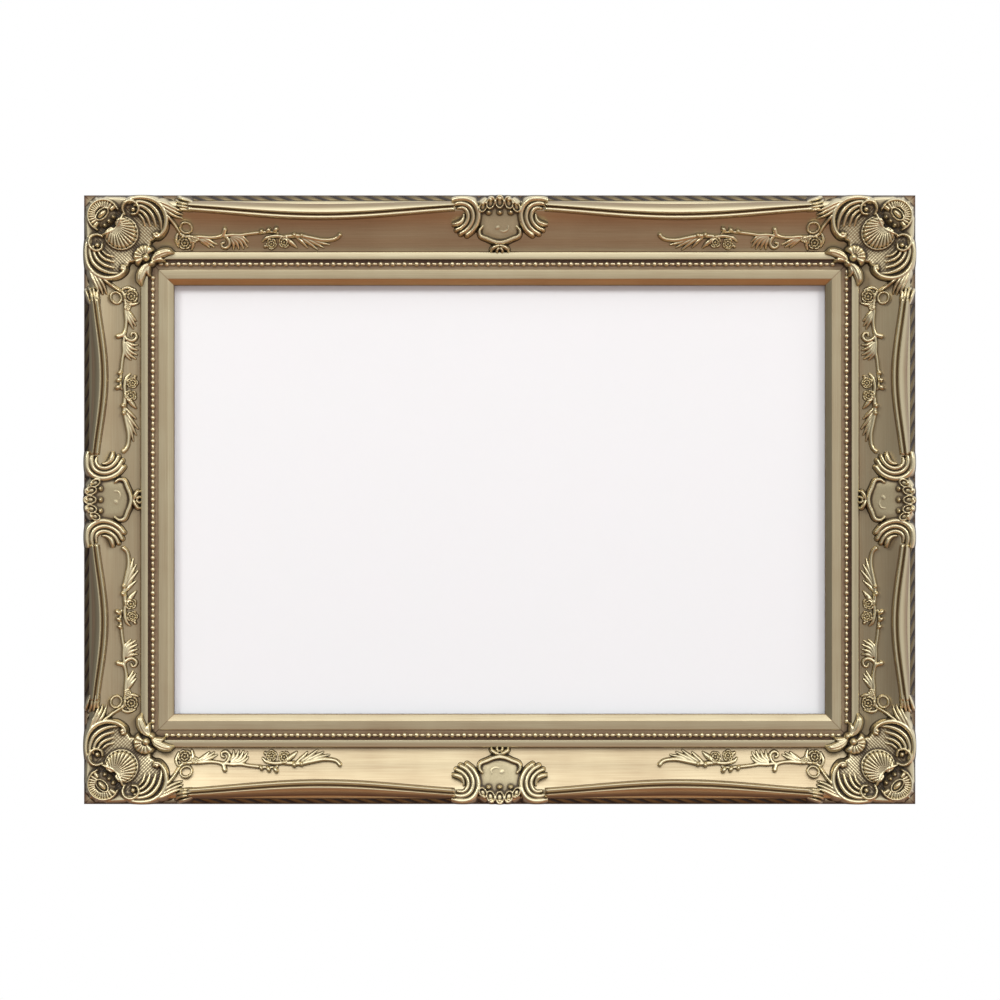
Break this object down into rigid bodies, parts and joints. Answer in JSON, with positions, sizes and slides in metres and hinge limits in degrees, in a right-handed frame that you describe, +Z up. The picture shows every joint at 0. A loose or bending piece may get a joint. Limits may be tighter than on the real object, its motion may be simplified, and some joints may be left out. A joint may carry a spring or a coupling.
{
  "type": "ornate gilded picture frame",
  "caption": "Gilded swept picture frame with carved corner and centre ornaments, beaded inner row, glazing, backing and ring hangers.",
  "frame": {"origin": "middle of the frame on the wall plane, which passes through the backs of the wall bumpers", "axes": "+X to the right seen from the front, +Z up, the front faces -Y"},
  "size_m": [0.762, 0.0423, 0.558],
  "materials": {
    "gilded_wood": "champagne silver-gold leaf over red-brown bole on a machined moulding, toned with a dark patina",
    "gilded_composition": "champagne silver-gold leaf over cast composition, dark patina in the recesses",
    "clear_glass": "clear 2 mm picture glass",
    "white_card": "uncoated white insert card",
    "fibre_board": "brown hardboard backing",
    "zinc_plated_steel": "bright zinc plated steel",
    "black_rubber": "soft black wall bumper"
  },
  "bodies": {
    "root": {"backing_board": "fibre_board", "bead_row_bottom": "gilded_composition", "bead_row_left": "gilded_composition", "bead_row_right": "gilded_composition", "bead_row_top": "gilded_composition", "centre_ornament_bottom": "gilded_composition", "centre_ornament_left": "gilded_composition", "centre_ornament_right": "gilded_composition", "centre_ornament_top": "gilded_composition", "corner_ornament_bottom_left": "gilded_composition", "corner_ornament_bottom_right": "gilded_composition", "corner_ornament_top_left": "gilded_composition", "corner_ornament_top_right": "gilded_composition", "floral_spray_bottom_left": "gilded_composition", "floral_spray_bottom_right": "gilded_composition", "floral_spray_left_lower": "gilded_composition", "floral_spray_left_upper": "gilded_composition", "floral_spray_right_lower": "gilded_composition", "floral_spray_right_upper": "gilded_composition", "floral_spray_top_left": "gilded_composition", "floral_spray_top_right": "gilded_composition", "glass_pane": "clear_glass", "hanger_screws": "zinc_plated_steel", "hanger_strap_left": "zinc_plated_steel", "hanger_strap_right": "zinc_plated_steel", "insert_card": "white_card", "rail_bottom": "gilded_wood", "rail_left": "gilded_wood", "rail_right": "gilded_wood", "rail_top": "gilded_wood", "rope_edge_bottom": "gilded_composition", "rope_edge_left": "gilded_composition", "rope_edge_right": "gilded_composition", "rope_edge_top": "gilded_composition", "swept_ridge_bottom_left": "gilded_composition", "swept_ridge_bottom_right": "gilded_composition", "swept_ridge_left_lower": "gilded_composition", "swept_ridge_left_upper": "gilded_composition", "swept_ridge_right_lower": "gilded_composition", "swept_ridge_right_upper": "gilded_composition", "swept_ridge_top_left": "gilded_composition", "swept_ridge_top_right": "gilded_composition", "turn_button_screws": "zinc_plated_steel", "v_nails": "zinc_plated_steel", "wall_bumpers": "black_rubber"},
    "hanger_ring_left_body": {"hanger_ring_left": "zinc_plated_steel"},
    "hanger_ring_right_body": {"hanger_ring_right": "zinc_plated_steel"},
    "turn_button_bottom_left_body": {"turn_button_bottom_left": "zinc_plated_steel"},
    "turn_button_bottom_right_body": {"turn_button_bottom_right": "zinc_plated_steel"},
    "turn_button_left_body": {"turn_button_left": "zinc_plated_steel"},
    "turn_button_right_body": {"turn_button_right": "zinc_plated_steel"},
    "turn_button_top_left_body": {"turn_button_top_left": "zinc_plated_steel"},
    "turn_button_top_right_body": {"turn_button_top_right": "zinc_plated_steel"}
  },
  "joints": [
    {"name": "turn_button_top_left_pivot", "type": "hinge", "parent": "root", "child": "turn_button_top_left_body", "pos_m": [-0.1905, -0.0043, 0.213], "axis": [0, 1, 0], "continuous": true},
    {"name": "turn_button_top_right_pivot", "type": "hinge", "parent": "root", "child": "turn_button_top_right_body", "pos_m": [0.1905, -0.0043, 0.213], "axis": [0, 1, 0], "continuous": true},
    {"name": "turn_button_bottom_left_pivot", "type": "hinge", "parent": "root", "child": "turn_button_bottom_left_body", "pos_m": [-0.1905, -0.0043, -0.213], "axis": [0, 1, 0], "continuous": true},
    {"name": "turn_button_bottom_right_pivot", "type": "hinge", "parent": "root", "child": "turn_button_bottom_right_body", "pos_m": [0.1905, -0.0043, -0.213], "axis": [0, 1, 0], "continuous": true},
    {"name": "turn_button_left_pivot", "type": "hinge", "parent": "root", "child": "turn_button_left_body", "pos_m": [-0.315, -0.0043, 0], "axis": [0, 1, 0], "continuous": true},
    {"name": "turn_button_right_pivot", "type": "hinge", "parent": "root", "child": "turn_button_right_body", "pos_m": [0.315, -0.0043, 0], "axis": [0, 1, 0], "continuous": true},
    {"name": "hanger_ring_left_hinge", "type": "hinge", "parent": "root", "child": "hanger_ring_left_body", "pos_m": [-0.341, -0.00275, 0.093], "axis": [-1, 0, 0], "range_deg": [0, 170]},
    {"name": "hanger_ring_right_hinge", "type": "hinge", "parent": "root", "child": "hanger_ring_right_body", "pos_m": [0.341, -0.00275, 0.093], "axis": [-1, 0, 0], "range_deg": [0, 170]}
  ]
}
